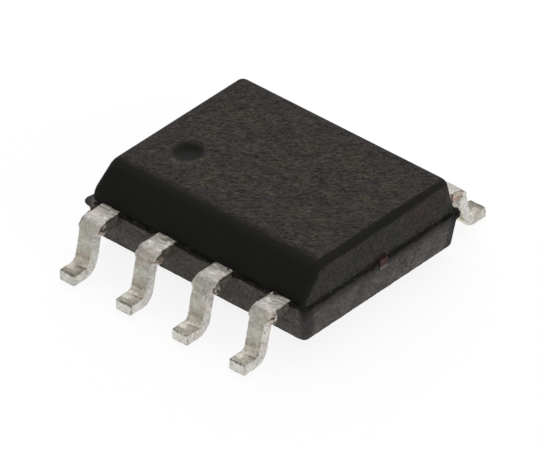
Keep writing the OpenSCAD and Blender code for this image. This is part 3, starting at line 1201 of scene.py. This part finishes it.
    def _work_surface(self, obj: Object) -> None:
        """Adds resolution, worn edges, waves and rough cuts, and notes what the finish reads."""
        finer = obj.modifiers.new("finer", "SUBSURF")
        finer.levels = finer.render_levels = 1
        worn = obj.modifiers.new("worn", "SMOOTH")
        worn.factor, worn.iterations = 0.5, 3
        apply_modifiers(obj)
        mesh = obj.data
        shift = 7.0 * self.pin
        notes: dict[str, list[float]] = {name: [] for name in LEAD_NOTES}
        normals = [v.normal.copy() for v in mesh.vertices]
        for vertex, normal in zip(mesh.vertices, normals):
            p = vertex.co.copy()
            place, over = self.locate(-p.y, p.z)
            is_toe = smooth_step(self.toe - 0.03, self.toe - 0.012, -p.y)
            is_toe *= smooth_step(0.3, 0.8, -normal.y)
            is_side = max(smooth_step(0.45, 0.85, abs(normal.x)), is_toe)
            upside = smooth_step(0.0, 0.08, over)
            # Painted shade on the top of the foot, together with its dullness.
            dull = self.foot_dull_and_shade * smooth_step(1.2, 1.32, place)
            values = (place, p.x - self.x, is_side, upside, dull, self.early)
            for name, value in zip(LEAD_NOTES, values):
                notes[name].append(value)
            if place < -0.05:
                continue
            wave = rough(p, 3.5, shift) * 0.007 + rough(p, 9, shift) * 0.006
            cut = bell(place - self.bar_cut, 0.07) * (rough(p, 22, shift) * 0.022 - 0.004)
            wave += is_side * (rough(p, 14, shift) * 0.007 + cut)
            crinkle = smooth_step(0.4, 0.1, place) * rough((p.x * 0.25, p.y, p.z), 26, shift)
            vertex.co = p + normal * (wave + 0.006 * crinkle)
            vertex.co.z = max(vertex.co.z, 0.0)
            vertex.co.y = max(vertex.co.y, -self.toe)
        for name, values in notes.items():
            note(mesh, name, values)


# ---------------------------------------------------------------- studio


@dataclass(frozen=True)
class Lamp:
    """A square soft light aimed at the chip. Lengths in millimetres, power in watts."""

    name: str
    place: Point
    size: float
    power: float

    def build(self) -> None:
        """Sets up the light."""
        light = bpy.data.lights.new(self.name, "AREA")
        light.size = self.size * MM
        light.energy = self.power
        obj = bpy.data.objects.new(self.name, light)
        bpy.context.scene.collection.objects.link(obj)
        obj.location = Vector(self.place) * MM
        obj.rotation_euler = (-Vector(self.place)).to_track_quat("-Z", "Y").to_euler()


@dataclass
class Studio:
    """Floor, lights, world and camera. Lengths in millimetres."""

    eye: Point = (90.573, -98.0446, 95.3947)
    aim: Point = (0.0684, -0.1524, 0.5765)
    right: Point = (0.74076847, 0.67163175, -0.01314798)
    lens: float = 656.2
    lamps: tuple[Lamp, ...] = (
        Lamp("key", (-60, 85, 100), size=170, power=0.155),
        Lamp("right", (150, -10, 60), size=90, power=0.055),
    )
    ambient: float = 0.26
    overhead: float = 0.18
    floor_r: float = 400.0
    floor_gap: float = 0.004
    floor_grey: float = 0.9
    floor_white: float = 1.06
    glow: float = 0.82

    def build(self) -> None:
        """Sets the whole stage."""
        self._floor()
        self._world()
        for lamp in self.lamps:
            lamp.build()
        self._camera()

    def _floor(self) -> None:
        """A pale floor: white from above with a soft shadow, and clear from below."""
        bpy.ops.object.select_all(action="DESELECT")
        bpy.ops.mesh.primitive_circle_add(vertices=96, radius=self.floor_r * MM, fill_type="NGON")
        floor = bpy.context.object
        floor.name = "floor"
        floor.location.z = -self.floor_gap * MM
        g = Graph.material("floor")
        rays = g.add("LightPath").socket.node
        kinds = ("Camera", "Glossy", "Transmission")
        camera, glossy, through = (Wire(g, rays.outputs[f"Is {kind} Ray"]) for kind in kinds)
        seen = camera.over(glossy).over(through)
        lit = g.add("BsdfDiffuse", {}, {"Color": (self.floor_grey,) * 3})
        glow = {"Color": (1.0, 1.0, 1.0), "Strength": self.floor_white}
        white = g.add("Emission", {}, glow)
        upside = g.add("MixShader", {}, {0: seen * self.glow, 1: lit, 2: white})
        clear = g.add("BsdfTransparent")
        below = g.add("NewGeometry", output="Backfacing")
        both = g.add("MixShader", {}, {0: below, 1: upside, 2: clear})
        floor.data.materials.append(g.done(both))

    def _world(self) -> None:
        """Soft light all round, brighter from above, white where it is seen."""
        world = bpy.data.worlds.new("studio")
        bpy.context.scene.world = world
        g = Graph(world)
        seen = g.add("LightPath", output="Is Camera Ray")
        _, _, up = g.axes(g.add("TexCoord", output="Generated"))
        level = self.ambient + up.rise(-0.1, 0.9) * self.overhead
        level = level * (1 - seen) + seen
        g.done(g.add("Background", {}, {"Color": (1.0, 1.0, 1.0), "Strength": level}))

    def _camera(self) -> None:
        """The camera, far off with a long lens and a touch of roll."""
        data = bpy.data.cameras.new("camera")
        data.lens = self.lens
        data.sensor_width = 36.0
        data.clip_start = 0.01
        data.clip_end = 10.0
        camera = bpy.data.objects.new("camera", data)
        bpy.context.scene.collection.objects.link(camera)
        eye, aim = Vector(self.eye), Vector(self.aim)
        back = (eye - aim).normalized()
        right = Vector(self.right)
        right = (right - back * right.dot(back)).normalized()
        turn = Matrix((right, back.cross(right), back)).transposed().to_4x4()
        camera.matrix_world = Matrix.Translation(eye * MM) @ turn
        bpy.context.scene.camera = camera


def main() -> None:
    """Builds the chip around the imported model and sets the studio."""
    logging.basicConfig(level=logging.INFO, format="%(message)s")
    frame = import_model()
    bpy.context.scene.view_settings.view_transform = "Standard"
    Studio().build()
    compound = CompoundFinish().build()
    Moulding().build(compound)
    tin = TinFinish().build()
    for pin in range(1, 9):
        GullWing(pin).build(tin, compound)
    copper = MetalFinish("copper_alloy", (0.52, 0.27, 0.19), (0.30, 0.14, 0.11), 0.42).build()
    gold = MetalFinish("gold_wire", (0.92, 0.66, 0.22), (0.80, 0.54, 0.17), 0.24, 30).build()
    finishes = {
        "die_paddle": copper,
        "die_attach": AdhesiveFinish().build(),
        "silicon_die": SiliconFinish().build(),
    }
    for name, node in frame["nodes"].items():
        material = gold if name.startswith("bond_wire") else finishes.get(name)
        if material:
            coat(node, material)
            log.info("%s: packed shape kept", name)


if __name__ == "__main__":
    main()
